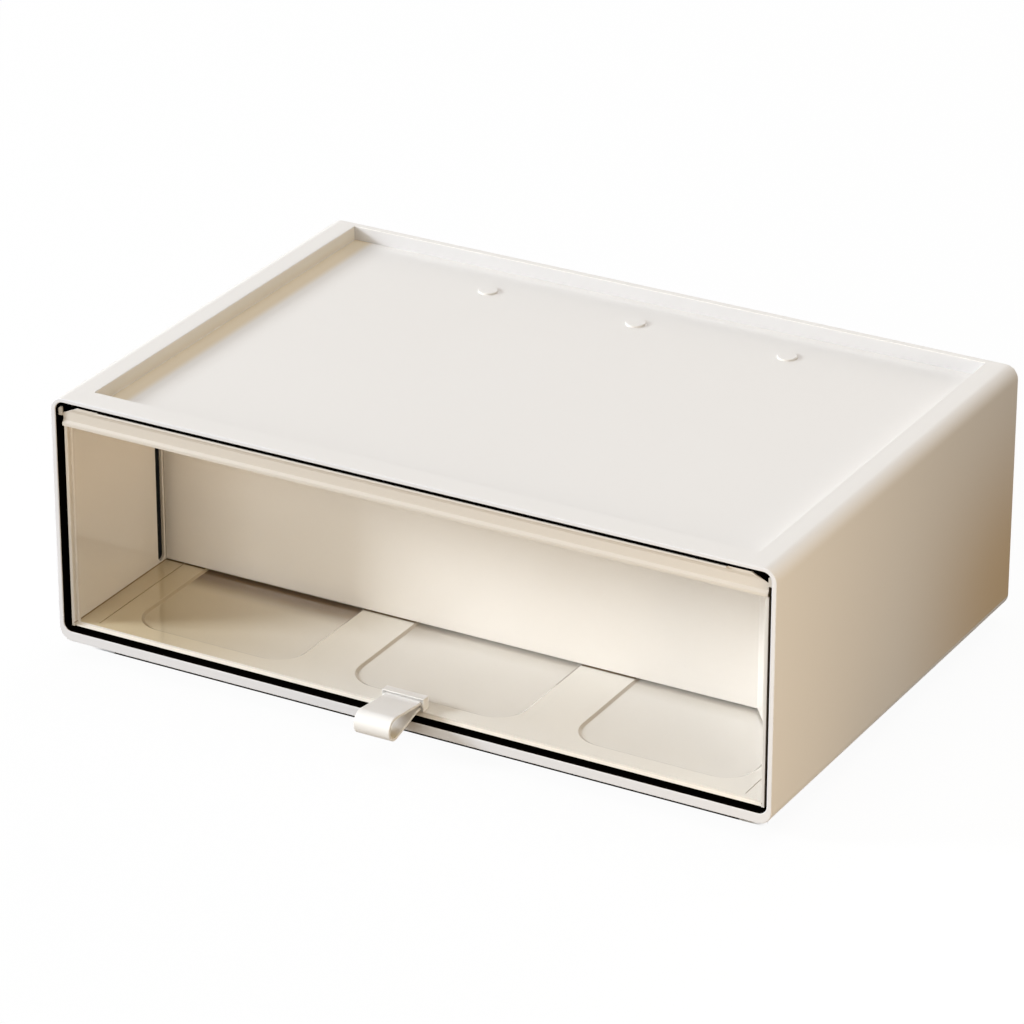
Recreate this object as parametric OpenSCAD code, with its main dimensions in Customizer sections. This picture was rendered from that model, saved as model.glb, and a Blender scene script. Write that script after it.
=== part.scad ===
// Stackable drawer box: a moulded sleeve with a sunk top and a stepped base, so that
// boxes nest on one another, and a hanging drawer tray with a clear front.
// Millimetres, +Z up, +X right, -Y is the open front. The origin is the middle of the
// whole footprint, pull tab included, on the surface that the box stands on.

/* [Case] */
// Outside width of the sleeve
case_w = 360; // [300:5:420]
// Outside depth of the sleeve, front edge to rear edge
case_d = 240; // [200:5:320]
// Outside height of the sleeve, front lip underside to top rim
case_h = 120; // [100:1:180]
// Outside radius of the four long edges
case_corner_r = 6.5; // [4.5:0.5:10]
// Thickness of the side walls
side_wall = 2.4; // [1.6:0.1:3]
// Thickness of the top panel
top_wall = 2; // [1.6:0.1:3]
// Thickness of the base panel
base_wall = 2.4; // [1.6:0.1:3]
// Height of the stiffening lip along the front of the base
lip_h = 4.7; // [3:0.1:7]

/* [Stacking] */
// Depth of the sunk tray in the top
recess_depth = 7; // [4:0.5:9]
// Width of the rim beside the sunk tray, left and right
rim_side = 15; // [12:0.5:25]
// Width of the rim in front of the sunk tray
rim_front = 13; // [12:0.5:20]
// Width of the rim behind the sunk tray
rim_rear = 3.4; // [3:0.1:8]
// Depth of the step under the base that drops into the box below
plateau_depth = 6.5; // [4:0.5:8.5]
// Clearance all round between the step and the sunk tray of the box below
stack_gap = 1.5; // [0.5:0.1:3]
// Corner radius of the step, seen from above
plateau_r = 14; // [6:1:25]
// Radius of the bumper pads at the rear of the sunk tray
bumper_r = 4.7; // [3:0.1:7]
// Height of the bumper pads
bumper_h = 1; // [0.6:0.1:1.5]
// Spacing of the bumper pads
bumper_pitch = 78; // [50:1:110]
// Distance from the rear edge to the bumper pads
bumper_back = 27.5; // [15:0.5:60]
// Radius of the rubber feet
foot_r = 9; // [5:0.5:14]
// How far the rubber feet stand below the base
foot_h = 1; // [0.6:0.1:2]
// How deep the rubber feet sit in their sockets
foot_sink = 0.8; // [0.4:0.1:1.2]
// Distance from a foot's centre to the edges of the step
foot_inset = 24; // [16:1:40]

/* [Back panel] */
// Thickness of the back panel
back_t = 2.2; // [1.6:0.1:3]
// How far the back panel lies inside the rear edge
back_inset = 1.5; // [0.5:0.1:3]
// Width of the step that the back panel seats against
back_rebate = 0.8; // [0.5:0.1:1.2]
// Clearance round the edge of the back panel
back_gap = 0.15; // [0.05:0.05:0.3]

/* [Runners] */
// Height of a runner
runner_h = 4; // [3:0.5:8]
// Distance from the front edge to the runners
runner_front = 20; // [14:1:40]
// Gap between a runner and the side of the tray
runner_side_gap = 0.7; // [0.5:0.1:1]
// Running gap under and beside the hanging flanges
slide_gap = 0.3; // [0.2:0.05:0.6]

/* [Drawer] */
// Gap between the drawer front and the sleeve, left and right
front_side_gap = 2.4; // [1.8:0.1:3.5]
// Gap between the drawer front and the sleeve above it
front_top_gap = 2; // [1.5:0.1:3]
// Gap between the tray and the front lip below it
tray_lift = 1.7; // [0.5:0.1:2.5]
// How far the clear window lies behind the front edge of the sleeve
window_back = 3.5; // [3:0.1:5]
// Thickness of the clear window
window_t = 1.5; // [1:0.1:2.5]
// Thickness of the tray's walls and floor
tray_wall = 1.6; // [1.2:0.1:2.5]
// Depth of the hanging flanges below the top panel's outer face
flange_drop = 8; // [7:0.5:12]
// Thickness of the hanging flanges
flange_t = 1.2; // [1:0.1:2]
// Gap between the tray and the back panel when the drawer is shut
tray_rear_gap = 0.4; // [0.3:0.1:2]
// Depth of the back wall's upper edge below the sunk top panel
tray_back_drop = 7; // [3:0.5:30]
// How far the drawer pulls out
travel = 170; // [80:5:180]

/* [Tray floor] */
// Number of shallow pockets in the floor
pocket_count = 3; // [2:1:4]
// Gap between neighbouring pockets
pocket_gap = 27; // [10:1:40]
// Margin between the outer pockets and the tray's walls
pocket_margin = 18; // [12:1:40]
// How far the row of pockets lies to the right of the middle
pocket_shift = 3; // [-6:0.5:6]
// Distance from the front edge of the tray to the pockets
pocket_front = 12; // [8:1:30]
// Distance from the rear edge of the tray to the pockets
pocket_rear = 14; // [8:1:30]
// Corner radius of the pockets
pocket_r = 15; // [8:1:25]
// Depth of the pockets
pocket_depth = 0.8; // [0.3:0.1:0.8]
// Width of the sloping edge of the pockets
pocket_slope = 1.6; // [0.5:0.1:3]
// Width of the fine groove round three sides of the pockets
groove_w = 0.5; // [0.3:0.1:1]
// Depth of the fine groove
groove_depth = 0.3; // [0.1:0.1:0.6]
// Distance from the tray's walls to the fine groove
groove_margin = 9.6; // [5:0.1:12]

/* [Divider] */
// Distance from the front edge of the sleeve to the divider's face
divider_back = 78.5; // [60:0.1:150]
// Thickness of the divider
divider_t = 2; // [1.2:0.1:3]
// Gap between the divider's upper edge and the sunk top panel
divider_drop = 12; // [6:0.5:30]
// Clearance between the divider's ends and the tray's walls
divider_gap = 0.3; // [0.2:0.1:1]
// Gap between the divider and the tray's floor
divider_lift = 0.7; // [0.3:0.1:0.9]
// Width of the upright slots in the tray's walls
slot_w = 5.2; // [4:0.1:10]
// Distance from the upright slots to the divider's face
slot_to_divider = 1; // [0.8:0.1:4]
// Reach of the hollow post that keeps the divider upright at its right end
divider_post_reach = 9; // [6:0.5:12]
// Width of the divider's post
divider_post_w = 33; // [15:1:60]
// Sideways run of the post's slanted face
divider_post_slant = 7; // [2:0.5:12]
// Height of the lugs that hook the divider into the upright slots
divider_lug_h = 14; // [6:1:30]

/* [Front rail] */
// Height of the front rail
rail_h = 10; // [8:0.5:16]
// Front-to-back thickness of the front rail
rail_t = 7.4; // [6:0.1:8]
// How far the rail stands in front of the window
rail_proud = 1.9; // [1:0.1:2.5]
// How far the thin finger lip stands in front of the rail
rail_lip_reach = 0.9; // [0.5:0.1:1.2]
// Thickness of the finger lip
rail_lip_t = 1; // [0.6:0.1:2]
// Distance from the rail's ends to the finger lip
rail_lip_end = 19; // [12:0.5:26]
// Depth of the hollow in the rail's face
rail_cove = 1; // [0.3:0.1:1.3]
// Height of the bead along the rail's lower edge
rail_bead_h = 1.6; // [1:0.1:3]
// How far the window reaches up into the rail
window_grip = 1.6; // [1:0.1:3]

/* [Pull tab] */
// How far the tab lies to the right of the middle
tab_shift = -3; // [-20:0.5:20]
// Width of the strap
tab_w = 18; // [12:0.5:30]
// Thickness of the strap
tab_t = 1.3; // [0.8:0.1:1.6]
// Outside radius of the strap's loop
tab_loop_r = 5.6; // [4.5:0.1:8]
// Reach of the strap in front of the sleeve
tab_reach = 22; // [16:0.5:30]
// Height of the loop's centre above the floor of the tray
tab_loop_z = 1.2; // [0.5:0.1:4]
// Height of the upper strap slot above the floor of the tray
tab_upper_z = 3.2; // [2.9:0.1:6]
// Height of the lower strap slot above the floor of the tray
tab_lower_z = 0.5; // [0.5:0.1:0.7]
// Clearance round the strap in its slots
tab_gap = 0.2; // [0.1:0.05:0.3]
// Front-to-back depth of the clip behind the window
clip_d = 4.4; // [3:0.1:8]
// How far the clip stands past the strap, left, right and above
clip_margin = 1.6; // [1:0.1:3]

/* [Hidden] */
$fn = 64;
e = 0.01;

cream = [0.93, 0.90, 0.86];
ivory = [0.90, 0.86, 0.79];
clear = [0.85, 0.88, 0.90, 0.35];
dark_rubber = [0.25, 0.24, 0.23];

// Heights: the case's own zero is the underside of the front lip
case_z = foot_h + plateau_depth;
top_z = case_z + case_h;
ceiling_z = top_z - top_wall;
recess_z = top_z - recess_depth;
low_ceiling_z = recess_z - top_wall;
floor_z = case_z + base_wall;

// Depths: y of the front edge and of the rear edge
front_y = (tab_reach - case_d) / 2;
rear_y = front_y + case_d;

inner_half = case_w / 2 - side_wall;
inner_corner_r = case_corner_r - side_wall;
recess_half = case_w / 2 - rim_side;
recess_front_y = front_y + rim_front;
recess_rear_y = rear_y - rim_rear;

plateau_half = recess_half - stack_gap;
plateau_front_y = recess_front_y + stack_gap;
plateau_rear_y = recess_rear_y - stack_gap;
plateau_d = plateau_rear_y - plateau_front_y;
plateau_mid_y = (plateau_front_y + plateau_rear_y) / 2;

back_face_y = rear_y - back_inset;
back_seat_y = back_face_y - back_t;

// Drawer
tray_half = inner_half - front_side_gap;
tray_z = case_z + lip_h + tray_lift;
tray_floor_z = tray_z + tray_wall;
tray_lead = 0.6;
tray_front_y = front_y + window_back - tray_lead;
tray_rear_y = back_seat_y - tray_rear_gap;
tray_inner_half = tray_half - tray_wall;
flange_top_z = top_z - flange_drop;
flange_z = flange_top_z - flange_t;
flange_half = inner_half - slide_gap;
tray_back_top_z = low_ceiling_z - tray_back_drop;
strip_t = 1.2;
strip_reach = 3;

window_y = front_y + window_back;
window_half = tray_inner_half - tab_gap;

rail_y = window_y - rail_proud;
rail_rear_y = rail_y + rail_t;
rail_top_z = ceiling_z - front_top_gap;
rail_z = rail_top_z - rail_h;
rail_end_gap = 0.2;
window_top_z = rail_z + window_grip;
rail_slant_w = case_corner_r + 2;
rail_skin = 2;
ear_ease = 1;
ear_z = ceiling_z - inner_corner_r + ear_ease;
rail_web = 1.1;
groove_fit = 0.1;
edge_ease = 0.3;
cove_run = 2;

// Stops: a rib hangs in each front corner of the sleeve, a nub stands on each flange
stop_set_back = 4;
stop_rib_t = 2;
stop_rib_w = 3;
stop_nub_h = 2.6;
stop_rib_y = rail_rear_y + stop_set_back;
stop_nub_y = stop_rib_y + stop_rib_t + travel + slide_gap;
stop_nub_l = 4;
stop_side_gap = 0.9;
stop_half_in = tray_half - stop_rib_w;
stop_half_out = flange_half - stop_side_gap;

runner_half = tray_half + runner_side_gap;
runner_top_z = flange_z - slide_gap;
runner_rear_y = back_seat_y - tray_rear_gap;

divider_y = front_y + divider_back;
divider_rear_y = divider_y + divider_t;
divider_half = tray_inner_half - divider_gap;
divider_top_z = low_ceiling_z - divider_drop;
divider_z = tray_floor_z + divider_lift;
slot_rear_y = divider_y - slot_to_divider;
slot_mid_y = slot_rear_y - slot_w / 2;
lug_t = 2.5;
lug_arm_w = 3;
lug_drop = 4;
post_wall = 1.4;

tab_half = tab_w / 2;
tab_loop_y = front_y - tab_reach + tab_loop_r;
clip_y = window_y + window_t;
clip_rear_wall = 1;
strap_end_y = clip_y + clip_d - clip_rear_wall;
strap_low_z = tray_floor_z + tab_lower_z;
strap_high_z = tray_floor_z + tab_upper_z;
strap_bend = 1;

function arc(cx, cy, r, a0, a1, steps) =
    [for (i = [0:steps]) let (a = a0 + (a1 - a0) * i / steps) [cx + r * cos(a), cy + r * sin(a)]];

// Block given by two opposite corners
module span(low, high) {
    translate(low) cube(high - low);
}

// Profile in x and z, drawn flat, stood up and run from y0 to y1
module along_y(y0, y1) {
    translate([0, y1, 0]) rotate([90, 0, 0]) linear_extrude(y1 - y0) children();
}

// Profile in y and z, drawn flat, stood up and run across the width
module across_x(half) {
    translate([-half, 0, 0]) rotate([90, 0, 90]) linear_extrude(2 * half) children();
}

module round_rect(w, d, r) {
    square([w - 2 * r, d], center = true);
    square([w, d - 2 * r], center = true);
    for (sx = [-1, 1], sy = [-1, 1])
        translate([sx * (w / 2 - r), sy * (d / 2 - r)]) circle(r);
}

module mirrored() {
    children();
    mirror([1, 0, 0]) children();
}

// Cross-section of the sleeve's inside behind the front rim; grow widens the opening
module opening_profile(grow) {
    difference() {
        translate([0, (floor_z + ceiling_z) / 2])
            round_rect(2 * (inner_half + grow), ceiling_z - floor_z + 2 * grow,
                       inner_corner_r + grow);
        translate([-recess_half - top_wall + grow, low_ceiling_z + grow])
            square([2 * (recess_half + top_wall - grow), recess_depth + top_wall]);
    }
}

module case_shell() color(cream) {
    difference() {
        union() {
            along_y(front_y, rear_y)
                translate([0, case_z + case_h / 2]) round_rect(case_w, case_h, case_corner_r);
            translate([0, plateau_mid_y, foot_h])
                linear_extrude(plateau_depth + base_wall / 2)
                    round_rect(2 * plateau_half, plateau_d, plateau_r);
        }
        // Inside, behind the front rim and below the sunk tray
        along_y(front_y + side_wall, back_seat_y) opening_profile(0);
        // Inside, under the front rim
        along_y(front_y + side_wall, recess_front_y - top_wall)
            translate([0, (floor_z + ceiling_z) / 2])
                round_rect(2 * inner_half, ceiling_z - floor_z, inner_corner_r);
        // Mouth above the front lip
        along_y(front_y - e, front_y + side_wall + e)
            translate([0, (case_z + lip_h + ceiling_z) / 2])
                round_rect(2 * inner_half, ceiling_z - case_z - lip_h, inner_corner_r);
        // Rebate for the back panel
        along_y(back_seat_y - e, rear_y + e) opening_profile(back_rebate);
        // Well in the base
        translate([0, plateau_mid_y, foot_h + base_wall])
            linear_extrude(plateau_depth + e)
                round_rect(2 * (plateau_half - base_wall), plateau_d - 2 * base_wall,
                           plateau_r - base_wall);
        // Sunk tray in the top
        span([-recess_half, recess_front_y, recess_z], [recess_half, recess_rear_y, top_z + e]);
        // Sockets for the rubber feet
        foot_places() translate([0, 0, foot_h - e]) cylinder(h = foot_sink + e, r = foot_r);
    }
    // Ribs that stop the drawer
    mirrored()
        span([stop_half_in, stop_rib_y, flange_top_z + 2 * slide_gap],
             [stop_half_out, stop_rib_y + stop_rib_t, ceiling_z + e]);
}

module back_panel() color(cream)
    along_y(back_seat_y, back_face_y) opening_profile(back_rebate - back_gap);

module runner() color(cream)
    span([runner_half, front_y + runner_front, runner_top_z - runner_h],
         [inner_half, runner_rear_y, runner_top_z]);

module runner_right() runner();

module runner_left() mirror([1, 0, 0]) runner();

module stack_bumpers() color(cream)
    for (i = [-1:1])
        translate([i * bumper_pitch, rear_y - bumper_back, recess_z])
            cylinder(h = bumper_h, r = bumper_r);

// Centre of one foot, by its side and its end
function foot_place(sx, sy) =
    [sx * (plateau_half - foot_inset), plateau_mid_y + sy * (plateau_d / 2 - foot_inset), 0];

module foot_places()
    for (sx = [-1, 1], sy = [-1, 1]) translate(foot_place(sx, sy)) children();

module foot(sx, sy) color(dark_rubber)
    translate(foot_place(sx, sy)) cylinder(h = foot_h + foot_sink, r = foot_r - back_gap);

// Shallow pocket with a sloping edge: four cones joined by two prisms. The slope runs on
// a little above the floor, so that the cut is clean
module pocket(w, d, r, depth, slope) {
    flare = slope * e / depth;
    for (sx = [-1, 1], sy = [-1, 1])
        translate([sx * (w / 2 - r), sy * (d / 2 - r), -depth])
            cylinder(h = depth + e, r1 = r - slope, r2 = r + flare);
    across_x(w / 2 - r)
        polygon([[-d / 2 - flare, e], [d / 2 + flare, e],
                 [d / 2 - slope, -depth], [-d / 2 + slope, -depth]]);
    along_y(r - d / 2, d / 2 - r)
        polygon([[-w / 2 - flare, e], [w / 2 + flare, e],
                 [w / 2 - slope, -depth], [-w / 2 + slope, -depth]]);
}

// Sheet with round rear corners that starts square at the front
module groove_sheet(half, l, r)
    translate([-half, 0]) {
        square([2 * half, l - r]);
        translate([r, 0]) square([2 * (half - r), l]);
        for (x = [r, 2 * half - r]) translate([x, l - r]) circle(r);
    }

module floor_relief() {
    field_w = 2 * (tray_inner_half - pocket_margin);
    pocket_w = (field_w - (pocket_count - 1) * pocket_gap) / pocket_count;
    pocket_d = tray_rear_y - tray_front_y - pocket_front - pocket_rear;
    pocket_y = tray_front_y + pocket_front + pocket_d / 2;
    for (i = [0:pocket_count - 1])
        translate([(pocket_w - field_w) / 2 + i * (pocket_w + pocket_gap) + pocket_shift,
                   pocket_y, tray_floor_z])
            pocket(pocket_w, pocket_d, pocket_r, pocket_depth, pocket_slope);
    groove_set_back = 3;
    groove_r = 3;
    groove_half = tray_inner_half - groove_margin;
    groove_front = window_y + window_t + groove_set_back;
    groove_rear = tray_rear_y - tray_wall - groove_margin;
    groove_l = groove_rear - groove_front;
    translate([0, groove_front, tray_floor_z - groove_depth])
        linear_extrude(groove_depth + e) difference() {
            groove_sheet(groove_half, groove_l, groove_r);
            groove_sheet(groove_half - groove_w, groove_l - groove_w, groove_r - groove_w);
        }
}

module drawer_tray() color(ivory) {
    slot_bottom = tray_floor_z + 1 + slot_w / 2;
    difference() {
        span([-tray_half, tray_front_y, tray_z], [tray_half, tray_rear_y, flange_top_z]);
        // Inside of the tray
        span([-tray_inner_half, tray_front_y - e, tray_floor_z],
             [tray_inner_half, tray_rear_y - tray_wall, flange_top_z + e]);
        // Room in front of the floor for the window
        span([-tray_inner_half, tray_front_y - e, tray_z - e],
             [tray_inner_half, window_y + window_t + rail_end_gap, tray_floor_z + e]);
        // Lowered back wall
        span([-tray_inner_half, tray_rear_y - tray_wall - e, tray_back_top_z],
             [tray_inner_half, tray_rear_y + e, flange_top_z + e]);
        // Room for the front rail
        span([-tray_half - e, tray_front_y - e, rail_z - rail_end_gap],
             [tray_half + e, rail_rear_y + rail_end_gap, flange_top_z + e]);
        floor_relief();
        // Upright slots for the divider's lugs
        translate([-tray_half - e, slot_mid_y, slot_bottom])
            rotate([0, 90, 0]) cylinder(h = 2 * tray_half + 2 * e, d = slot_w);
        span([-tray_half - e, slot_mid_y - slot_w / 2, slot_bottom],
             [tray_half + e, slot_rear_y, divider_top_z]);
    }
    mirrored() {
        // Hanging flange and its stop nub
        span([tray_half - e, rail_rear_y + rail_end_gap, flange_z],
             [flange_half, tray_rear_y - slide_gap, flange_top_z]);
        span([tray_half - 1, stop_nub_y, flange_top_z - e],
             [stop_half_out - slide_gap, stop_nub_y + stop_nub_l, flange_top_z + stop_nub_h]);
        // Strip behind the window's edge
        span([tray_inner_half - strip_t, clip_y, tray_floor_z - e],
             [tray_inner_half + e, clip_y + strip_t, rail_z - rail_end_gap]);
        // Strip behind the divider
        span([tray_inner_half - strip_reach, divider_rear_y + divider_gap, tray_floor_z - e],
             [tray_inner_half + e, divider_rear_y + divider_gap + strip_t, divider_top_z]);
    }
}

module front_window() color(clear)
    difference() {
        span([-window_half, window_y, tray_z], [window_half, window_y + window_t, window_top_z]);
        for (z = [strap_low_z, strap_high_z])
            translate([tab_shift, 0, z])
                span([-tab_half - tab_gap, window_y - e, -tab_gap],
                     [tab_half + tab_gap, clip_y + e, tab_t + tab_gap]);
    }

module front_rail() color(cream) {
    lip_y = rail_y - rail_lip_reach;
    lip_z = rail_top_z - rail_lip_t;
    face_y = rail_y + edge_ease;
    cove_y = rail_y + rail_cove;
    cove_top_z = lip_z - cove_run;
    bead_z = rail_z + rail_bead_h;
    difference() {
        union() {
            // Body with the hollow face and the bead
            across_x(tray_half) polygon([
                [rail_y, rail_z], [rail_rear_y, rail_z], [rail_rear_y, rail_top_z],
                [face_y, rail_top_z], [face_y, lip_z - edge_ease],
                [cove_y, cove_top_z], [cove_y, bead_z + cove_run / 2],
                [face_y, bead_z + edge_ease / 2], [rail_y, bead_z - edge_ease / 2]]);
            // Finger lip
            across_x(tray_half - rail_lip_end) polygon([
                [lip_y, lip_z + edge_ease], [cove_y, lip_z - edge_ease],
                [cove_y, rail_top_z], [lip_y + edge_ease, rail_top_z]]);
        }
        // Slanted upper corners clear the sleeve's round corners
        mirrored() along_y(lip_y - 1, rail_rear_y + 1) polygon([
            [tray_half - rail_slant_w, rail_top_z + e], [tray_half + 1, rail_top_z + e],
            [tray_half + 1, flange_top_z], [tray_half - e, flange_top_z]]);
        // Groove for the window
        span([-window_half - groove_fit, window_y - groove_fit, rail_z - e],
             [window_half + groove_fit, clip_y + groove_fit, window_top_z + groove_fit]);
        // Hollow rear
        span([-tray_half + rail_skin, clip_y + groove_fit + rail_web, rail_z + rail_skin],
             [tray_half - rail_skin, rail_rear_y + 1, flange_top_z - edge_ease]);
    }
    // Ears that carry the flanges' line to the front and fill the sleeve's round corners
    mirrored() along_y(face_y, rail_rear_y) polygon([
        [tray_half - e, flange_z], [flange_half, flange_z], [flange_half, ear_z - ear_ease],
        [flange_half - ear_ease, ear_z], [tray_half - e, ear_z]]);
}

module divider() color(ivory) {
    lug_z = divider_top_z - lug_drop - divider_lug_h;
    lug_top_z = lug_z + divider_lug_h;
    lug_y = slot_rear_y - divider_gap - lug_t;
    post_x = divider_half - divider_post_w;
    post_y = divider_y - divider_post_reach;
    span([-divider_half, divider_y, divider_z], [divider_half, divider_rear_y, divider_top_z]);
    // Arms and lugs that reach forward and hook into the tray's upright slots
    mirrored() {
        span([divider_half - lug_arm_w, lug_y, lug_z], [divider_half, divider_y + e, lug_top_z]);
        span([divider_half - e, lug_y, lug_z], [tray_half - divider_gap, lug_y + lug_t, lug_top_z]);
    }
    // Hollow post with a slanted face, open at its top
    difference() {
        translate([0, 0, divider_z]) linear_extrude(divider_top_z - divider_z) polygon([
            [post_x - divider_post_slant, divider_y + e], [post_x, post_y],
            [divider_half, post_y], [divider_half, divider_y + e]]);
        translate([0, 0, divider_z + post_wall]) linear_extrude(case_h) polygon([
            [post_x - divider_post_slant + 2 * post_wall, divider_y],
            [post_x + post_wall, post_y + post_wall],
            [divider_half - post_wall, post_y + post_wall], [divider_half - post_wall, divider_y]]);
    }
}

// Outline of the strap's loop in y and z: a round nose and two straight tails
module loop_outline(r, tail_low_z, tail_high_z, tail_y) {
    polygon(concat(
        arc(tab_loop_y, tray_floor_z + tab_loop_z, r, 78, 288, 28),
        [[window_y - strap_bend, tail_low_z], [tail_y, tail_low_z],
         [tail_y, tail_high_z], [window_y - strap_bend, tail_high_z]]));
}

module pull_tab() color(cream)
    translate([tab_shift, 0, 0]) across_x(tab_half) difference() {
        loop_outline(tab_loop_r, strap_low_z, strap_high_z + tab_t, strap_end_y);
        loop_outline(tab_loop_r - tab_t, strap_low_z + tab_t, strap_high_z, strap_end_y + e);
    }

module tab_clip() color(cream)
    translate([tab_shift, 0, 0]) difference() {
        span([-tab_half - clip_margin, clip_y, tray_floor_z],
             [tab_half + clip_margin, clip_y + clip_d, strap_high_z + tab_t + clip_margin]);
        for (z = [strap_low_z, strap_high_z])
            span([-tab_half - tab_gap, clip_y - e, z - tab_gap],
                 [tab_half + tab_gap, strap_end_y + tab_gap, z + tab_t + tab_gap]);
    }

case_shell();
back_panel();
runner_left();
runner_right();
stack_bumpers();
foot(-1, -1);  // foot_front_left
foot(1, -1);  // foot_front_right
foot(-1, 1);  // foot_rear_left
foot(1, 1);  // foot_rear_right
drawer_tray();
front_window();
front_rail();
divider();
tab_clip();
pull_tab();
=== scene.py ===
import math

import bmesh
import bpy
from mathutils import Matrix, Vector


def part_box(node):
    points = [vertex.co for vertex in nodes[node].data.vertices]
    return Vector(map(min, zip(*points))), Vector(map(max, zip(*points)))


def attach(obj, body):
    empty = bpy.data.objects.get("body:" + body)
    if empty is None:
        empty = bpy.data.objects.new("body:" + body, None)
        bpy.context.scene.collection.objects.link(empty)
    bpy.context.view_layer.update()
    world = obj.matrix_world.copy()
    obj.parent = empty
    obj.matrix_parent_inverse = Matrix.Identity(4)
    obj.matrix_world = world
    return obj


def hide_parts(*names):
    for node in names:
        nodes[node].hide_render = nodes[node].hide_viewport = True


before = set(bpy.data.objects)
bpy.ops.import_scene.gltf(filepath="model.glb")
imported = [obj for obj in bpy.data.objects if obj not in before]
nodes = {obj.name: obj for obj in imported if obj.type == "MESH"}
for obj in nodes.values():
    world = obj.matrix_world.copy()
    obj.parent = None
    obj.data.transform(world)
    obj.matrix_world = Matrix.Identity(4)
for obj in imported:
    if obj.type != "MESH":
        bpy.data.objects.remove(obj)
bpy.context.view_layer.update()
scene = bpy.context.scene
MM = 0.001


# Sleeve: one injection moulding in warm off-white, with a satin skin and softly broken
# edges. Its inside, in shade behind the drawer, is painted near black: painted shade.
EDGE_SPREAD = math.radians(25)
FLAT_ANGLE = math.radians(0.4)
WELD = 1e-6


def broken_edges(node, name, radius, steps=2, crisp=lambda co: False):
    """The node's solid again, welded and with its edges rounded as a mould rounds them.
    Edges whose two ends are both crisp stay as they are."""
    bm = bmesh.new()
    bm.from_mesh(nodes[node].data)
    bmesh.ops.remove_doubles(bm, verts=bm.verts, dist=WELD)
    bmesh.ops.dissolve_limit(bm, angle_limit=FLAT_ANGLE, verts=bm.verts, edges=bm.edges)
    bmesh.ops.triangulate(bm, faces=bm.faces)
    bm.verts.index_update()
    mesh = bpy.data.meshes.new(name)
    mesh.from_pydata(
        [v.co[:] for v in bm.verts], [], [[v.index for v in f.verts] for f in bm.faces]
    )
    bm.free()
    bm = bmesh.new()
    bm.from_mesh(mesh)
    weight = bm.edges.layers.float.new("bevel_weight_edge")
    for edge in bm.edges:
        turned = edge.calc_face_angle(0) > EDGE_SPREAD
        edge[weight] = turned and not all(crisp(v.co) for v in edge.verts)
    bm.to_mesh(mesh)
    bm.free()
    piece = bpy.data.objects.new(name, mesh)
    scene.collection.objects.link(piece)
    bevel = piece.modifiers.new("rounded", "BEVEL")
    bevel.width = radius
    bevel.segments = steps
    bevel.limit_method = "WEIGHT"
    bevel.use_clamp_overlap = False
    bevel.miter_outer = "MITER_ARC"
    evaluated = piece.evaluated_get(bpy.context.evaluated_depsgraph_get())
    solid = bpy.data.meshes.new_from_object(evaluated)
    piece.modifiers.clear()
    piece.data = solid
    smooth_faces(piece, EDGE_SPREAD)
    return piece


def smooth_faces(piece, angle):
    """Smooth shading that stops at edges sharper than angle."""
    chosen = {"object": piece, "active_object": piece, "selected_objects": [piece]}
    with bpy.context.temp_override(**chosen):
        bpy.ops.object.shade_smooth_by_angle(angle=angle)


CLOUDS_PER_METRE = 9


def moulding_grain():
    """Fine spark-eroded skin and the faint cloudiness of moulded plastic."""
    tree = bpy.data.node_groups.new("moulding grain", "ShaderNodeTree")
    for label, kind, start in (
        ("Tone", "NodeSocketColor", (0.8, 0.8, 0.8, 1)),
        ("Shade", "NodeSocketColor", (0.7, 0.7, 0.7, 1)),
        ("Grain Size", "NodeSocketFloat", 0.0004),
        ("Roughness Low", "NodeSocketFloat", 0.3),
        ("Roughness High", "NodeSocketFloat", 0.4),
    ):
        socket = tree.interface.new_socket(label, in_out="INPUT", socket_type=kind)
        socket.default_value = start
    for label, kind in (
        ("Color", "NodeSocketColor"),
        ("Roughness", "NodeSocketFloat"),
        ("Height", "NodeSocketFloat"),
    ):
        tree.interface.new_socket(label, in_out="OUTPUT", socket_type=kind)
    add, link = tree.nodes.new, tree.links.new
    given, out = add("NodeGroupInput"), add("NodeGroupOutput")
    place = add("ShaderNodeTexCoord")
    per_metre = add("ShaderNodeMath")
    per_metre.operation = "DIVIDE"
    per_metre.inputs[0].default_value = 1
    link(given.outputs["Grain Size"], per_metre.inputs[1])
    grain = add("ShaderNodeTexNoise")
    grain.inputs["Detail"].default_value = 2
    link(place.outputs["Object"], grain.inputs["Vector"])
    link(per_metre.outputs[0], grain.inputs["Scale"])
    cloud = add("ShaderNodeTexNoise")
    cloud.inputs["Scale"].default_value = CLOUDS_PER_METRE
    cloud.inputs["Detail"].default_value = 3
    link(place.outputs["Object"], cloud.inputs["Vector"])
    blend = add("ShaderNodeMix")
    blend.data_type = "RGBA"
    link(cloud.outputs["Fac"], blend.inputs["Factor"])
    link(given.outputs["Shade"], blend.inputs["A"])
    link(given.outputs["Tone"], blend.inputs["B"])
    rough = add("ShaderNodeMapRange")
    link(cloud.outputs["Fac"], rough.inputs["Value"])
    link(given.outputs["Roughness Low"], rough.inputs["To Min"])
    link(given.outputs["Roughness High"], rough.inputs["To Max"])
    link(blend.outputs["Result"], out.inputs["Color"])
    link(rough.outputs["Result"], out.inputs["Roughness"])
    link(grain.outputs["Fac"], out.inputs["Height"])
    return tree


GRAIN = moulding_grain()
GRAIN_STRENGTH = 0.3
COAT_ROUGHNESS = 0.05
PLASTIC_IOR = 1.5


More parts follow.
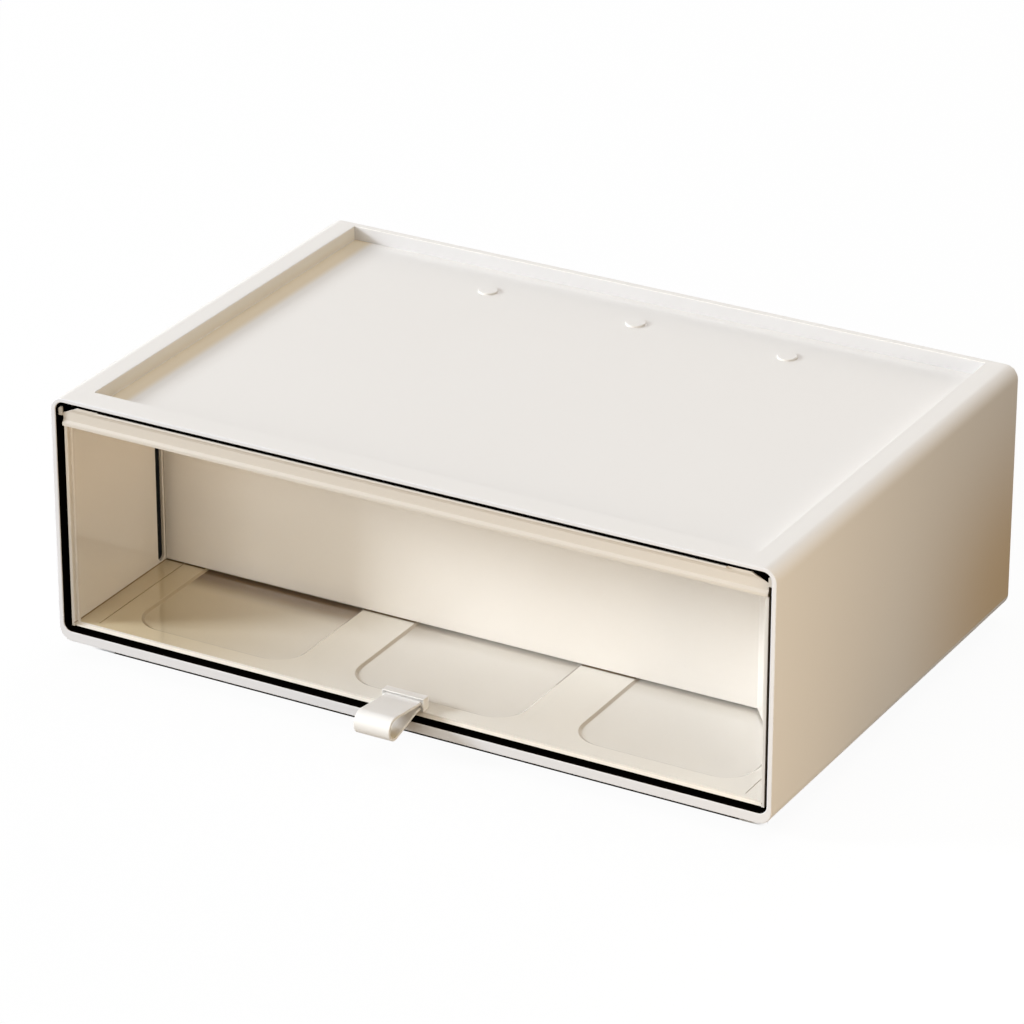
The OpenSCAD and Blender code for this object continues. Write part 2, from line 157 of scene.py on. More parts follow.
def moulded_plastic(name, tone, shade, rough, grain_size, grain_depth, coat=0.0):
    """Principled plastic whose colour, roughness and skin come from the grain group."""
    material = bpy.data.materials.new(name)
    material.use_nodes = True
    add, link = material.node_tree.nodes.new, material.node_tree.links.new
    shader = material.node_tree.nodes["Principled BSDF"]
    skin = add("ShaderNodeGroup")
    skin.name = "skin"
    skin.node_tree = GRAIN
    skin.inputs["Tone"].default_value = (*tone, 1)
    skin.inputs["Shade"].default_value = (*shade, 1)
    skin.inputs["Grain Size"].default_value = grain_size
    skin.inputs["Roughness Low"].default_value = rough[0]
    skin.inputs["Roughness High"].default_value = rough[1]
    bump = add("ShaderNodeBump")
    bump.inputs["Strength"].default_value = GRAIN_STRENGTH
    bump.inputs["Distance"].default_value = grain_depth
    link(skin.outputs["Height"], bump.inputs["Height"])
    link(skin.outputs["Color"], shader.inputs["Base Color"])
    link(skin.outputs["Roughness"], shader.inputs["Roughness"])
    link(bump.outputs["Normal"], shader.inputs["Normal"])
    shader.inputs["IOR"].default_value = PLASTIC_IOR
    shader.inputs["Coat Weight"].default_value = coat
    shader.inputs["Coat Roughness"].default_value = COAT_ROUGHNESS
    return material


def finish_as(piece, material, slot, body, *replaced):
    """Gives a finished piece its material, its body and the nodes it stands for, which it
    hides. The slot is not used.
    """
    piece.data.materials.clear()
    piece.data.materials.append(material)
    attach(piece, body)
    if replaced:
        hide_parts(*replaced)


sleeve_low, sleeve_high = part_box("case_shell")
CREAM = (0.835, 0.8, 0.768)
CREAM_SHADE = (0.818, 0.78, 0.744)
case_plastic = moulded_plastic(
    "case satin plastic", CREAM, CREAM_SHADE, (0.5, 0.58), 0.5 * MM, 0.04 * MM
)


def all_masks(tree, first, *others):
    """The product of some masks, which are node outputs between 0 and 1."""
    for other in others:
        product = tree.nodes.new("ShaderNodeMath")
        product.operation = "MULTIPLY"
        tree.links.new(first, product.inputs[0])
        tree.links.new(other, product.inputs[1])
        first = product.outputs[0]
    return first


def box_mask(tree, low, high):
    """A node output that is 1 inside a box given in object coordinates, and 0 outside."""
    add, link = tree.nodes.new, tree.links.new
    place, split = add("ShaderNodeTexCoord"), add("ShaderNodeSeparateXYZ")
    link(place.outputs["Object"], split.inputs["Vector"])
    slabs = []
    for axis, start, end in zip("XYZ", low, high):
        within = add("ShaderNodeMath")
        within.operation = "COMPARE"
        link(split.outputs[axis], within.inputs[0])
        within.inputs[1].default_value = (start + end) / 2
        within.inputs[2].default_value = (end - start) / 2
        slabs.append(within.outputs[0])
    return all_masks(tree, *slabs)


def ramp(tree, axis, start, end, full=1.0):
    """A node output that rises from 0 at start to full at end along an axis."""
    add, link = tree.nodes.new, tree.links.new
    place, split = add("ShaderNodeTexCoord"), add("ShaderNodeSeparateXYZ")
    link(place.outputs["Object"], split.inputs["Vector"])
    rise = add("ShaderNodeMapRange")
    rise.interpolation_type = "SMOOTHSTEP"
    link(split.outputs[axis], rise.inputs["Value"])
    rise.inputs["From Min"].default_value = start
    rise.inputs["From Max"].default_value = end
    rise.inputs["To Max"].default_value = full
    return rise.outputs["Result"]


NEAR_BLACK = (0.003, 0.002, 0.001, 1)


def paint_shade_inside(material, space, *kept):
    """Paints shade: a material black and lightless inside the box space, except in the boxes
    kept.
    """
    tree = material.node_tree
    add, link = tree.nodes.new, tree.links.new
    shader, skin = tree.nodes["Principled BSDF"], tree.nodes["skin"]
    dark = box_mask(tree, *space)
    for box in kept:
        less = add("ShaderNodeMath")
        less.operation = "SUBTRACT"
        less.use_clamp = True
        link(dark, less.inputs[0])
        link(box_mask(tree, *box), less.inputs[1])
        dark = less.outputs[0]
    toned = add("ShaderNodeMix")
    toned.data_type = "RGBA"
    link(dark, toned.inputs["Factor"])
    link(skin.outputs["Color"], toned.inputs["A"])
    toned.inputs["B"].default_value = NEAR_BLACK
    link(toned.outputs["Result"], shader.inputs["Base Color"])
    dull = add("ShaderNodeMix")
    link(dark, dull.inputs["Factor"])
    link(skin.outputs["Roughness"], dull.inputs["A"])
    dull.inputs["B"].default_value = 1
    link(dull.outputs["Result"], shader.inputs["Roughness"])
    link(dark, shader.inputs["Metallic"])


SIDE_WALL = 2.4 * MM
TOP_WALL = 2.0 * MM
RIM_SIDE = 15 * MM
RIM_FRONT = 13 * MM
RIM_REAR = 3.4 * MM
RECESS_DEPTH = 7 * MM
INSIDE_FROM = 7.2 * MM
REBATE_DEPTH = 2.5 * MM
FRONT_EASE = 0.35 * MM
SKIN = 0.05 * MM
# Painted shade: the sleeve's inside is drawn near black, all but the ceiling under the sunk
# top.
paint_shade_inside(
    case_plastic,
    (
        (sleeve_low.x + SIDE_WALL - SKIN, sleeve_low.y + FRONT_EASE, INSIDE_FROM),
        (
            sleeve_high.x - SIDE_WALL + SKIN,
            sleeve_high.y - REBATE_DEPTH,
            sleeve_high.z - TOP_WALL + SKIN,
        ),
    ),
    (
        (
            sleeve_low.x + RIM_SIDE - TOP_WALL / 2,
            sleeve_low.y + RIM_FRONT - TOP_WALL / 2,
            sleeve_high.z - RECESS_DEPTH - TOP_WALL - SKIN,
        ),
        (sleeve_high.x - RIM_SIDE + TOP_WALL / 2, sleeve_high.y, sleeve_high.z),
    ),
)


def retone(material, factor, *masks):
    """Multiplies the material's colour by factor where all the masks are 1."""
    tree = material.node_tree
    shader = tree.nodes["Principled BSDF"]
    toned = tree.nodes.new("ShaderNodeMix")
    toned.data_type = "RGBA"
    toned.blend_type = "MULTIPLY"
    source = shader.inputs["Base Color"].links[0].from_socket
    tree.links.new(all_masks(tree, *masks), toned.inputs["Factor"])
    tree.links.new(source, toned.inputs["A"])
    toned.inputs["B"].default_value = (*factor, 1)
    tree.links.new(toned.outputs["Result"], shader.inputs["Base Color"])


# Painted light and shade on the sleeve: the front faces are tinted cooler, as cooler light
# on them. The inner face of the left rim is painted paler, as light, and the strip at its foot
# darker, as the rim's shadow. The inner face of the rear rim is painted darker, as shade, and
# the right wall is painted darker and warmer towards its lower rear corner, as shade.
case_tree = case_plastic.node_tree
recess_left = sleeve_low.x + RIM_SIDE
recess_right = sleeve_high.x - RIM_SIDE
recess_front = sleeve_low.y + RIM_FRONT
recess_rear = sleeve_high.y - RIM_REAR
recess_z = sleeve_high.z - RECESS_DEPTH
rim_edge_z = sleeve_high.z - 0.3 * MM
FRONT_FACE = 0.2 * MM
FACE_DEPTH = 0.5 * MM
FOOT_EASE = 0.4 * MM
ABOVE_FLOOR = 0.02 * MM
RIM_SHADOW_START = -153.3 * MM
RIM_SHADOW_FULL = -158.5 * MM
# Painted light: the front faces are tinted cooler, as cooler light on them.
retone(
    case_plastic,
    (0.93, 0.965, 1.04),
    box_mask(
        case_tree,
        (sleeve_low.x - MM, sleeve_low.y - MM, 0),
        (sleeve_high.x + MM, sleeve_low.y + FRONT_FACE, sleeve_high.z + MM),
    ),
)
# Painted light: the inner face of the left rim is drawn paler.
retone(
    case_plastic,
    (1.15, 1.15, 1.09),
    box_mask(
        case_tree,
        (recess_left - FACE_DEPTH, recess_front, recess_z),
        (recess_left + SKIN, sleeve_high.y, rim_edge_z),
    ),
)
# Painted shade: the inner face of the rear rim is drawn darker.
retone(
    case_plastic,
    (0.82, 0.84, 0.88),
    box_mask(
        case_tree,
        (recess_left, recess_rear - FOOT_EASE, recess_z + ABOVE_FLOOR),
        (recess_right, recess_rear + FACE_DEPTH, rim_edge_z),
    ),
)
# Painted shadow: the sunk top is darker in a strip at the left rim's foot, as the rim's
# shadow.
retone(
    case_plastic,
    (0.88, 0.775, 0.595),
    box_mask(
        case_tree,
        (recess_left, recess_front, recess_z - SKIN),
        (0, recess_rear, recess_z + SKIN),
    ),
    ramp(case_tree, "X", RIM_SHADOW_START, RIM_SHADOW_FULL),
)
# Painted shade: the right wall darkens and warms towards its lower rear corner.
retone(
    case_plastic,
    (0.76, 0.58, 0.33),
    box_mask(
        case_tree,
        (sleeve_high.x - SKIN, 0, 0),
        (sleeve_high.x + SKIN, sleeve_high.y, sleeve_high.z),
    ),
    ramp(case_tree, "Y", 0, sleeve_high.y),
    ramp(case_tree, "Z", sleeve_high.z - 0.5 * MM, 20 * MM),
)


REBATE_REACH = 4.2 * MM
REBATE_SIDE = 1.4 * MM
REBATE_BOTTOM = 8.2 * MM
REBATE_TOP = 1 * MM


def in_rear_rebate(co):
    """The stepped seat of the back panel, whose edges stay crisp."""
    return (
        co.y > sleeve_high.y - REBATE_REACH
        and abs(co.x) < sleeve_high.x - REBATE_SIDE
        and REBATE_BOTTOM < co.z < sleeve_high.z - REBATE_TOP
    )


sleeve = broken_edges("case_shell", "sleeve", FRONT_EASE, crisp=in_rear_rebate)
finish_as(sleeve, case_plastic, "case_plastic", "case", "case_shell")


# Back panel: a flat cream sheet snapped into the rear rebate, a touch smoother than the
# sleeve.
back_plastic = moulded_plastic(
    "back panel plastic", CREAM, CREAM_SHADE, (0.45, 0.55), 0.5 * MM, 0.04 * MM
)
back = broken_edges("back_panel", "back_sheet", 0.3 * MM)
finish_as(back, back_plastic, "case_plastic", "case", "back_panel")


# Runners: two straight plastic strips on the sleeve's side walls, on which the tray hangs.
RUNNER_TONE = (0.12, 0.105, 0.09)
runner_plastic = moulded_plastic(
    "runner plastic", RUNNER_TONE, RUNNER_TONE, (0.3, 0.4), 0.5 * MM, 0.02 * MM
)
for side in ("left", "right"):
    runner = broken_edges(f"runner_{side}", f"runner_strip_{side}", 0.2 * MM)
    finish_as(runner, runner_plastic, "runner_plastic", "case", f"runner_{side}")


# Bumper pads: three low round pads near the rear of the sunk top, in the sleeve's plastic.
# They carry the box above, so their rims are rounded over.
SIDES = 40
ROUND_SPREAD = math.radians(40)


def turned_profile(name, points):
    """A closed solid of revolution round Z from (radius, height) points, axis to axis."""
    bm = bmesh.new()
    ring = [bm.verts.new((r, 0, z)) for r, z in points]
    edges = [bm.edges.new(pair) for pair in zip(ring, ring[1:])]
    bmesh.ops.spin(
        bm, geom=ring + edges, axis=(0, 0, 1), cent=(0, 0, 0), steps=SIDES, angle=math.tau
    )
    bmesh.ops.remove_doubles(bm, verts=bm.verts, dist=WELD)
    bmesh.ops.recalc_face_normals(bm, faces=bm.faces)
    mesh = bpy.data.meshes.new(name)
    bm.to_mesh(mesh)
    bm.free()
    return mesh


def rounded_disc(radius, bottom, top, ease):
    """(radius, height) points of a disc whose upper rim is rounded by ease."""
    bend = [math.radians(a) for a in (0, 30, 60, 90)]
    rim = [(radius - ease + ease * math.cos(a), top - ease + ease * math.sin(a)) for a in bend]
    return [(0, bottom), (radius, bottom), *rim, (0, top)]


def placed_copies(name, shape, places, material):
    """Geometry Nodes: one shape at each of the given points, made one plain mesh."""
    tree = bpy.data.node_groups.new(name, "GeometryNodeTree")
    tree.interface.new_socket("Geometry", in_out="INPUT", socket_type="NodeSocketGeometry")
    tree.interface.new_socket("Shape", in_out="INPUT", socket_type="NodeSocketObject")
    tree.interface.new_socket("Finish", in_out="INPUT", socket_type="NodeSocketMaterial")
    tree.interface.new_socket("Geometry", in_out="OUTPUT", socket_type="NodeSocketGeometry")
    add, link = tree.nodes.new, tree.links.new
    given, out = add("NodeGroupInput"), add("NodeGroupOutput")
    source, instance = add("GeometryNodeObjectInfo"), add("GeometryNodeInstanceOnPoints")
    real, painted = add("GeometryNodeRealizeInstances"), add("GeometryNodeSetMaterial")
    link(given.outputs["Shape"], source.inputs["Object"])
    link(given.outputs["Geometry"], instance.inputs["Points"])
    link(source.outputs["Geometry"], instance.inputs["Instance"])
    link(instance.outputs["Instances"], real.inputs["Geometry"])
    link(real.outputs["Geometry"], painted.inputs["Geometry"])
    link(given.outputs["Finish"], painted.inputs["Material"])
    link(painted.outputs["Geometry"], out.inputs["Geometry"])
    points = bpy.data.meshes.new(name + " places")
    points.from_pydata(places, [], [])
    piece = bpy.data.objects.new(name, points)
    pattern = bpy.data.objects.new(name + " pattern", shape)
    scene.collection.objects.link(piece)
    copies = piece.modifiers.new("copies", "NODES")
    copies.node_group = tree
    inputs = [item for item in tree.interface.items_tree if item.in_out == "INPUT"]
    sockets = {item.name: item.identifier for item in inputs}
    copies[sockets["Shape"]] = pattern
    copies[sockets["Finish"]] = material
    evaluated = piece.evaluated_get(bpy.context.evaluated_depsgraph_get())
    solid = bpy.data.meshes.new_from_object(evaluated)
    piece.modifiers.clear()
    piece.data = solid
    bpy.data.objects.remove(pattern)
    smooth_faces(piece, ROUND_SPREAD)
    return piece


pads_low, pads_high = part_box("stack_bumpers")
pad_r = (pads_high.y - pads_low.y) / 2
pad_y = (pads_low.y + pads_high.y) / 2
pad_pitch = pads_high.x - pad_r
PAD_EASE = 0.45 * MM
pad = turned_profile("pad", rounded_disc(pad_r, pads_low.z, pads_high.z, PAD_EASE))
pads = placed_copies(
    "bumper_pads", pad, [(i * pad_pitch, pad_y, 0) for i in (-1, 0, 1)], case_plastic
)
finish_as(pads, case_plastic, "bumper_plastic", "case", "stack_bumpers")


# Feet: four dark rubber discs pressed into shallow sockets under the base.
RUBBER = (0.03, 0.029, 0.028)
RUBBER_SHADE = (0.022, 0.021, 0.02)
rubber = moulded_plastic(
    "foot rubber", RUBBER, RUBBER_SHADE, (0.75, 0.85), 0.8 * MM, 0.1 * MM
)
FEET = ["foot_front_left", "foot_front_right", "foot_rear_left", "foot_rear_right"]
foot_boxes = [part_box(name) for name in FEET]
foot_r = (foot_boxes[0][1].x - foot_boxes[0][0].x) / 2
foot_top = foot_boxes[0][1].z
SOLE_EASE = 0.4 * MM
sole = rounded_disc(foot_r, -foot_top, 0, SOLE_EASE)
foot = turned_profile("foot", [(r, -z) for r, z in sole])
foot_places = [((low.x + high.x) / 2, (low.y + high.y) / 2, 0) for low, high in foot_boxes]
feet = placed_copies("rubber_feet", foot, foot_places, rubber)
finish_as(feet, rubber, "foot_rubber", "case", *FEET)


# Tray: one moulding in a warmer, glossier plastic, with hanging flanges and a floor with
# shallow pockets.
IVORY = (0.83, 0.785, 0.735)
IVORY_SHADE = (0.81, 0.762, 0.708)
tray_plastic = moulded_plastic(
    "tray gloss plastic", IVORY, IVORY_SHADE, (0.04, 0.07), 0.6 * MM, 0.003 * MM, coat=0.5
)
tray_low, tray_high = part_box("drawer_tray")
TRAY_WALL = 1.6 * MM


# Painted light and shade on the tray: the floor's top is painted lighter, its ribs more than
# its pockets. The slopes, the floor's left side, the feet of the walls and the floor in front
# of the divider are painted darker, as shade, and the upper left of the inside lighter, as
# light.
tray_tree = tray_plastic.node_tree
floor_top = tray_low.z + TRAY_WALL
POCKET_DEPTH = 0.8 * MM
INNER_HALF = 173.7 * MM
FRONT_STRIP = 2.6 * MM
BACK_WALL = 2 * MM
divider_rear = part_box("divider")[1].y
divider_face = divider_rear - 2 * MM


def floor_zone(bottom, top, front=tray_low.y + FRONT_STRIP, rear=tray_high.y - BACK_WALL):
    """A mask of the floor between two heights measured from its top."""
    return box_mask(
        tray_tree,
        (-INNER_HALF, front, floor_top + bottom),
        (INNER_HALF, rear, floor_top + top),
    )


SHADE_LENGTH = 20 * MM
shaded_pockets = floor_zone(
    -POCKET_DEPTH - SKIN, -POCKET_DEPTH + SKIN, divider_face - SHADE_LENGTH, divider_rear
)
# Painted light: the floor's top is drawn lighter, its ribs more than its pockets.
retone(tray_plastic, (1.09, 1.11, 1.11), floor_zone(-SKIN, SKIN))
retone(tray_plastic, (1.03, 1.05, 1.06), floor_zone(-TRAY_WALL, -POCKET_DEPTH + SKIN))
# Painted shade: the slopes of the pockets and grooves are drawn darker.
retone(tray_plastic, (0.8, 0.77, 0.73), floor_zone(-POCKET_DEPTH + SKIN, -SKIN))
# Painted shadow: the floor grows darker towards its left side.
retone(
    tray_plastic,
    (0.82, 0.71, 0.5),
    floor_zone(-TRAY_WALL, SKIN),
    ramp(tray_tree, "X", -20 * MM, -165 * MM),
)
# Painted shade: a dark line on the floor at the divider's foot.
retone(
    tray_plastic,
    (0.3, 0.23, 0.17),
    floor_zone(-SKIN, SKIN, divider_face - 0.4 * MM, divider_rear),
)
# Painted shadow: the pockets darken in front of the divider, most on the left.
retone(
    tray_plastic,
    (0.25, 0.15, 0.06),
    shaded_pockets,
    ramp(tray_tree, "Y", divider_face - SHADE_LENGTH, divider_face - 5 * MM),
    ramp(tray_tree, "X", 0, -90 * MM, 0.87),
)
retone(
    tray_plastic,
    (0.6, 0.55, 0.48),
    shaded_pockets,
    ramp(tray_tree, "Y", divider_face - 14 * MM, divider_face, 0.5),
)
# Painted light: the upper left of the inside, wall and divider, is drawn lighter.
retone(
    tray_plastic,
    (1.17, 1.13, 1.07),
    ramp(tray_tree, "X", -40 * MM, -170 * MM),
    ramp(tray_tree, "Z", 40 * MM, 100 * MM),
)
# Painted shade: thin dark lines along the feet of the side walls.
for side in (-1, 1):
    edges = sorted((side * (INNER_HALF - 0.5 * MM), side * (INNER_HALF + 0.3 * MM)))
    wall_foot_shade = box_mask(
        tray_tree,
        (edges[0], tray_low.y, floor_top - SKIN),
        (edges[1], tray_high.y, floor_top + 0.5 * MM),
    )
    retone(tray_plastic, (0.5, 0.42, 0.33), wall_foot_shade)


RELIEF_SIDE = 3 * MM
RELIEF_FRONT = 1 * MM


def in_floor_relief(co):
    """The pockets and grooves of the floor, whose edges stay crisp."""
    return (
        tray_low.z - SKIN <= co.z <= floor_top + SKIN
        and abs(co.x) < tray_high.x - RELIEF_SIDE
        and co.y > tray_low.y + RELIEF_FRONT
    )


tray = broken_edges("drawer_tray", "tray", 0.2 * MM, crisp=in_floor_relief)
finish_as(tray, tray_plastic, "tray_plastic", "drawer", "drawer_tray")


# Divider: a loose upright wall in the tray's plastic, hooked into the slots of its sides.
# Its polish is duller than the tray's.
DIVIDER_ROUGH_LOW = 0.25
DIVIDER_ROUGH_HIGH = 0.32
DIVIDER_COAT_ROUGHNESS = 0.3
# The divider's copy keeps all the tray's painted light and shade.
divider_plastic = tray_plastic.copy()
divider_plastic.name = "divider plastic"
divider_skin = divider_plastic.node_tree.nodes["skin"]
divider_skin.inputs["Roughness Low"].default_value = DIVIDER_ROUGH_LOW
divider_skin.inputs["Roughness High"].default_value = DIVIDER_ROUGH_HIGH
divider_shader = divider_plastic.node_tree.nodes["Principled BSDF"]
divider_shader.inputs["Coat Roughness"].default_value = DIVIDER_COAT_ROUGHNESS
divider = broken_edges("divider", "divider_wall", 0.3 * MM)
finish_as(divider, divider_plastic, "tray_plastic", "drawer", "divider")


# Window: a clear sheet held between the tray's floor, its side strips and the rail. A strip
# along its bottom edge is made opaque and pale, as painted light on that edge.
PALE_EDGE_HEIGHT = 0.95 * MM
SHEET_TINT = (0.96, 0.91, 0.84, 1)
SHEET_IOR = 1.45
HAZE_PER_METRE = 14
SHEET_ROUGH = (0.03, 0.07)
SHEET_VEIL = (0.002, 0.005)


def clear_sheet():
    """Nearly invisible, with a thin veil, and opaque along its bottom edge as painted light.
    """
    material = bpy.data.materials.new("clear sheet")
    material.use_nodes = True
    tree = material.node_tree
    add, link = tree.nodes.new, tree.links.new
    shader = tree.nodes["Principled BSDF"]
    shader.inputs["Base Color"].default_value = SHEET_TINT
    shader.inputs["IOR"].default_value = SHEET_IOR
    place, haze = add("ShaderNodeTexCoord"), add("ShaderNodeTexNoise")
    haze.inputs["Scale"].default_value = HAZE_PER_METRE
    link(place.outputs["Object"], haze.inputs["Vector"])
    rough = add("ShaderNodeMapRange")
    rough.inputs["To Min"].default_value, rough.inputs["To Max"].default_value = SHEET_ROUGH
    link(haze.outputs["Fac"], rough.inputs["Value"])
    link(rough.outputs["Result"], shader.inputs["Roughness"])
    veil = add("ShaderNodeMapRange")
    veil.inputs["To Min"].default_value, veil.inputs["To Max"].default_value = SHEET_VEIL
    link(haze.outputs["Fac"], veil.inputs["Value"])
    painted_edge_light = box_mask(tree, (-1, -1, 0), (1, 1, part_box("front_window")[0].z + PALE_EDGE_HEIGHT))
    seen_edge = add("ShaderNodeMath")
    seen_edge.operation = "MAXIMUM"
    link(veil.outputs["Result"], seen_edge.inputs[0])
    link(painted_edge_light, seen_edge.inputs[1])
    link(seen_edge.outputs[0], shader.inputs["Alpha"])
    return material


window = broken_edges("front_window", "window_sheet", 0.15 * MM)
finish_as(window, clear_sheet(), "clear_plastic", "drawer", "front_window")


# Front rail: the moulded top edge of the drawer front, with a hollow face between a thin
# finger lip and a bead. Its colour is a darker, warmer ivory than the tray's, as painted shade
# under the sleeve's top edge, and its top face is painted near black, as the shade in the gap.
# Painted shade: a darker, warmer ivory for the shade under the sleeve's top edge.
RAIL_TONE_IN_SHADE = (0.69, 0.633, 0.568)
RAIL_CLOUD_IN_SHADE = (0.67, 0.613, 0.548)
rail_plastic = moulded_plastic(
    "rail plastic", RAIL_TONE_IN_SHADE, RAIL_CLOUD_IN_SHADE, (0.45, 0.52), 0.5 * MM, 0.02 * MM
)
rail_low, rail_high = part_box("front_rail")
LIP_EDGE = 0.8 * MM
CORNER_DROP = 4 * MM
COVE_BACK = 2.05 * MM
RAIL_TOP = 123.5 * MM
# Painted shade: the rail's top face, in the gap under the sleeve's top edge, is drawn near
# black.
paint_shade_inside(
    rail_plastic,
    (
        (rail_low.x - SKIN, rail_low.y + LIP_EDGE, RAIL_TOP - CORNER_DROP),
        (rail_high.x + SKIN, rail_high.y + SKIN, rail_high.z + SKIN),
    ),
    (
        (rail_low.x - SKIN, rail_low.y, RAIL_TOP - 2 * CORNER_DROP),
        (rail_high.x + SKIN, rail_low.y + COVE_BACK, RAIL_TOP - SKIN),
    ),
)
rail = broken_edges("front_rail", "rail", 0.15 * MM)
finish_as(rail, rail_plastic, "rail_plastic", "drawer", "front_rail")


# Pull tab: a soft strap folded into a loop. Its two tails pass through the window and are
# held in a small clip behind it. The inside of the loop is painted warmer, as light shining
# through the strap.
STRAP_TONE = (0.92, 0.9, 0.89)
STRAP_SHADE = (0.9, 0.88, 0.865)
strap_plastic = moulded_plastic(
    "strap plastic", STRAP_TONE, STRAP_SHADE, (0.4, 0.5), 0.35 * MM, 0.03 * MM
)
strap_tree = strap_plastic.node_tree
strap_low, strap_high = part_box("pull_tab")
LOOP_FRONT = 2.4 * MM
LOOP_FULL = 4 * MM
LOOP_REAR = 13 * MM
LOOP_BOTTOM = 1.2 * MM
LOOP_TOP = 10 * MM
# Painted light: the inside of the loop is tinted warm, as light through the strap.
retone(
    strap_plastic,
    (1.0, 0.91, 0.68),
    box_mask(
        strap_tree,
        (strap_low.x + SKIN, strap_low.y + LOOP_FRONT, strap_low.z + LOOP_BOTTOM),
        (strap_high.x - SKIN, strap_low.y + LOOP_REAR, strap_low.z + LOOP_TOP),
    ),
    ramp(strap_tree, "Y", strap_low.y + LOOP_REAR, strap_low.y + LOOP_FULL),
)
strap = broken_edges("pull_tab", "strap", 0.25 * MM)
finish_as(strap, strap_plastic, "strap_plastic", "drawer", "pull_tab")
clip = broken_edges("tab_clip", "strap_clip", 0.3 * MM)
finish_as(clip, strap_plastic, "rail_plastic", "drawer", "tab_clip")


# Floor: a plain pale sheet that the box stands on. The camera sees it almost white, with
# its own shade under the box's step and a painted shadow, a dark strip just behind the front
# lip. It throws a little warm light back on the sides, less beside the rear right, where a
# dull card lies.
def background_rays(tree):
    """1 for what the camera sees directly, mirrored in gloss or through glass."""
    add, link = tree.nodes.new, tree.links.new
    seen = add("ShaderNodeLightPath")
    rays = seen.outputs["Is Camera Ray"]
    for kind in ("Is Glossy Ray", "Is Transmission Ray"):
        either = add("ShaderNodeMath")
        either.operation = "MAXIMUM"
        link(rays, either.inputs[0])
        link(seen.outputs[kind], either.inputs[1])
        rays = either.outputs[0]
    return rays


BOUNCE = (0.26, 0.19, 0.11, 1)
DULL_CARD = (0.02, 0.01, 0.005, 1)
SEEN_WHITE = (0.97, 0.97, 0.97, 1)
DEEP_SHADE = (0.02, 0.018, 0.015, 1)
GLOW_SHARE = 0.95
LINE_FRONT = 11.3 * MM
LINE_REAR = 15 * MM
LINE_SIDE = 21 * MM
STEP_SIDE = 16.5 * MM
STEP_REAR = 4.9 * MM
SHADE_REACH = 8 * MM
DULL_FRONT = 70 * MM
DULL_REACH = 300 * MM


def pale_floor():
    """Mostly glow to the camera, gloss and glass, and a dim warm sheet to all other rays."""
    material = bpy.data.materials.new("pale floor")
    material.use_nodes = True
    tree = material.node_tree
    add, link = tree.nodes.new, tree.links.new
    shader = tree.nodes["Principled BSDF"]
    out = tree.nodes["Material Output"]
    rays = background_rays(tree)
    bounce = add("ShaderNodeMix")
    bounce.data_type = "RGBA"
    bounce.inputs["A"].default_value = BOUNCE
    bounce.inputs["B"].default_value = DULL_CARD
    card = box_mask(
        tree,
        (sleeve_high.x, sleeve_low.y + DULL_FRONT, -MM),
        (sleeve_high.x + DULL_REACH, sleeve_high.y + DULL_REACH, MM),
    )
    link(card, bounce.inputs["Factor"])
    colour = add("ShaderNodeMix")
    colour.data_type = "RGBA"
    link(bounce.outputs["Result"], colour.inputs["A"])
    colour.inputs["B"].default_value = SEEN_WHITE
    link(rays, colour.inputs["Factor"])
    shader.inputs["Roughness"].default_value = 0.9
    shader.inputs["Specular IOR Level"].default_value = 0
    glow = add("ShaderNodeEmission")
    glow.inputs["Strength"].default_value = 1
    # Painted shadow: a strip under the box, just behind the front lip, is drawn dark.
    contact = box_mask(
        tree,
        (sleeve_low.x + LINE_SIDE, sleeve_low.y + LINE_FRONT, -MM),
        (sleeve_high.x - LINE_SIDE, sleeve_low.y + LINE_REAR, MM),
    )
    shaded = add("ShaderNodeMix")
    shaded.data_type = "RGBA"
    shaded.inputs["B"].default_value = DEEP_SHADE
    link(contact, shaded.inputs["Factor"])
    link(colour.outputs["Result"], shaded.inputs["A"])
    link(shaded.outputs["Result"], shader.inputs["Base Color"])
    under = box_mask(tree, (-1, sleeve_low.y + LINE_FRONT, -MM), (1, 1, MM))
    for axis, edge, way in (
        ("X", sleeve_low.x + STEP_SIDE, -1),
        ("X", sleeve_high.x - STEP_SIDE, 1),
        ("Y", sleeve_high.y - STEP_REAR, 1),
    ):
        under = all_masks(tree, under, ramp(tree, axis, edge + way * SHADE_REACH, edge))
    glowing = add("ShaderNodeMapRange")
    glowing.inputs["To Min"].default_value = GLOW_SHARE
    glowing.inputs["To Max"].default_value = 0
    link(under, glowing.inputs["Value"])
    share = add("ShaderNodeMath")
    share.operation = "MULTIPLY"
    link(glowing.outputs["Result"], share.inputs[1])
    link(rays, share.inputs[0])
    mixed = add("ShaderNodeMixShader")
    link(share.outputs[0], mixed.inputs["Fac"])
    link(shader.outputs["BSDF"], mixed.inputs[1])
    link(glow.outputs["Emission"], mixed.inputs[2])
    link(mixed.outputs["Shader"], out.inputs["Surface"])
    return material


FLOOR_HALF = 6.0
floor_mesh = bpy.data.meshes.new("floor")
floor_mesh.from_pydata(
    [(x * FLOOR_HALF, y * FLOOR_HALF, 0) for x, y in ((-1, -1), (1, -1), (1, 1), (-1, 1))],
    [],
    [(0, 1, 2, 3)],
)
floor_mesh.materials.append(pale_floor())
floor = bpy.data.objects.new("floor", floor_mesh)
scene.collection.objects.link(floor)


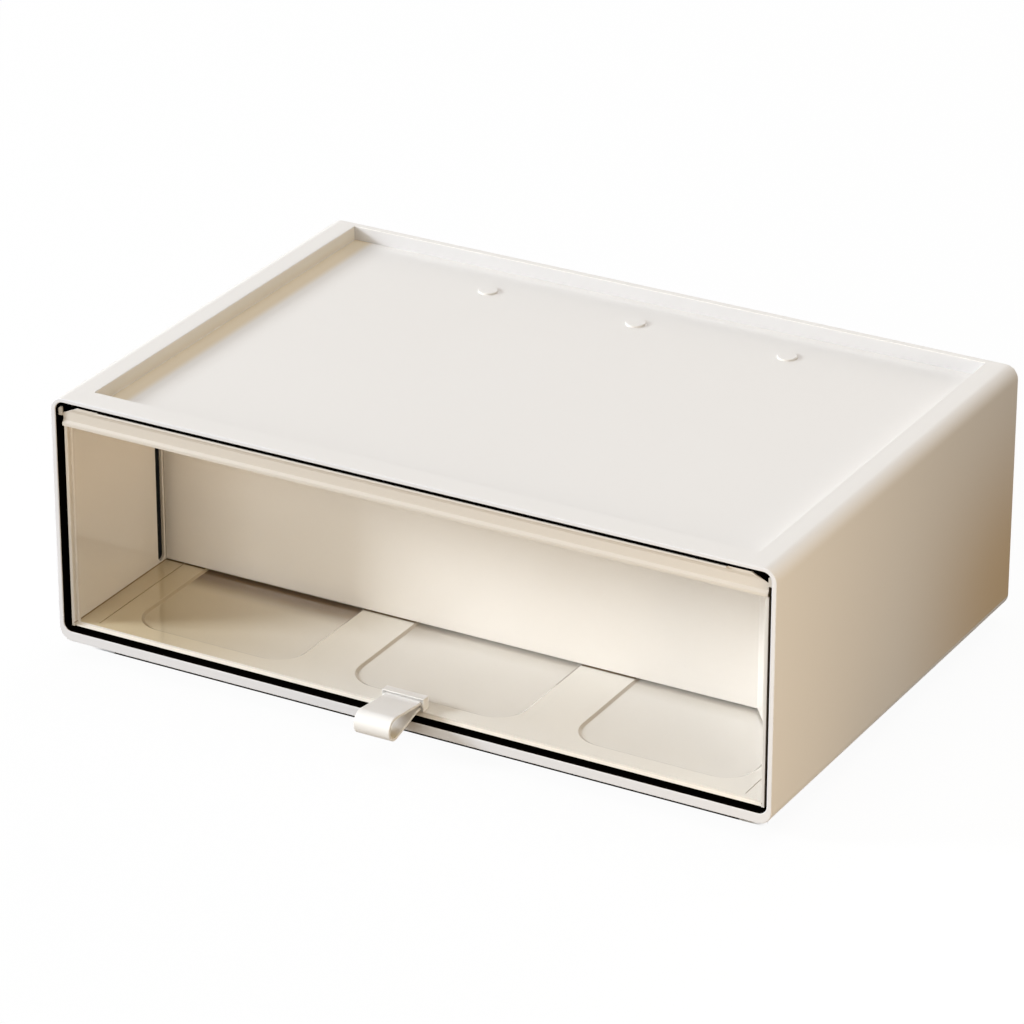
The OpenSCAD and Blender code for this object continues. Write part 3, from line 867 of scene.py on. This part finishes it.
# Light: a key low from the left and front, wide soft lights above, in front and behind, a
# small warm fill near the front right corner, and a dim warm surround, which is white to
# the camera, to gloss and to glass.
world = bpy.data.worlds.new("surround")
scene.world = world
world.use_nodes = True
tree = world.node_tree
add, link = tree.nodes.new, tree.links.new
surround = tree.nodes["Background"]
tint = add("ShaderNodeMix")
tint.data_type = "RGBA"
DIM_WARM = (0.17, 0.12, 0.06, 1)
WHITE = (1, 1, 1, 1)
tint.inputs["A"].default_value = DIM_WARM
tint.inputs["B"].default_value = WHITE
link(background_rays(tree), tint.inputs["Factor"])
link(tint.outputs["Result"], surround.inputs["Color"])


def softbox(name, aim, towards, distance, size, light):
    """A square lamp at a distance from aim. light is what each colour channel gives on a
    surface at aim that faces the lamp."""
    turn = Vector(towards).normalized()
    lamp = bpy.data.lights.new(name, "AREA")
    lamp.size = size
    lamp.energy = math.pi * distance**2 * max(light)
    lamp.color = [channel / max(light) for channel in light]
    holder = bpy.data.objects.new(name, lamp)
    holder.location = Vector(aim) + distance * turn
    holder.rotation_euler = (-turn).to_track_quat("-Z", "Y").to_euler()
    scene.collection.objects.link(holder)


middle = (0, 0, 0.06)
softbox("key", middle, (-0.85, -0.5, 0.36), 4, 0.8, (2.4, 2.6, 2.8))
softbox("overhead", middle, (0, 0.1, 1), 4, 3.0, (1.22, 1.35, 1.5))
softbox("front", middle, (-0.3, -1, 0.3), 4, 2.5, (1.17, 1.19, 1.15))
softbox("rear", middle, (0, 1, 0.35), 4, 2.0, (1.0, 0.97, 0.92))
softbox("warm fill", (0.18, -0.09, 0.07), (0.9, -0.5, 0.1), 0.45, 0.25, (1.9, 1.65, 1.27))


# Camera: a long lens from the right and above, level, with no shift.
camera = bpy.data.cameras.new("camera")
camera.sensor_width = 36
camera.lens = 181.97
camera.clip_end = 30
view = bpy.data.objects.new("camera", camera)
view.location = (1.026, -1.830, 1.0615)
view.rotation_euler = (math.radians(64.65), 0, math.radians(29.44))
scene.collection.objects.link(view)
scene.camera = view
scene.view_settings.view_transform = "Standard"
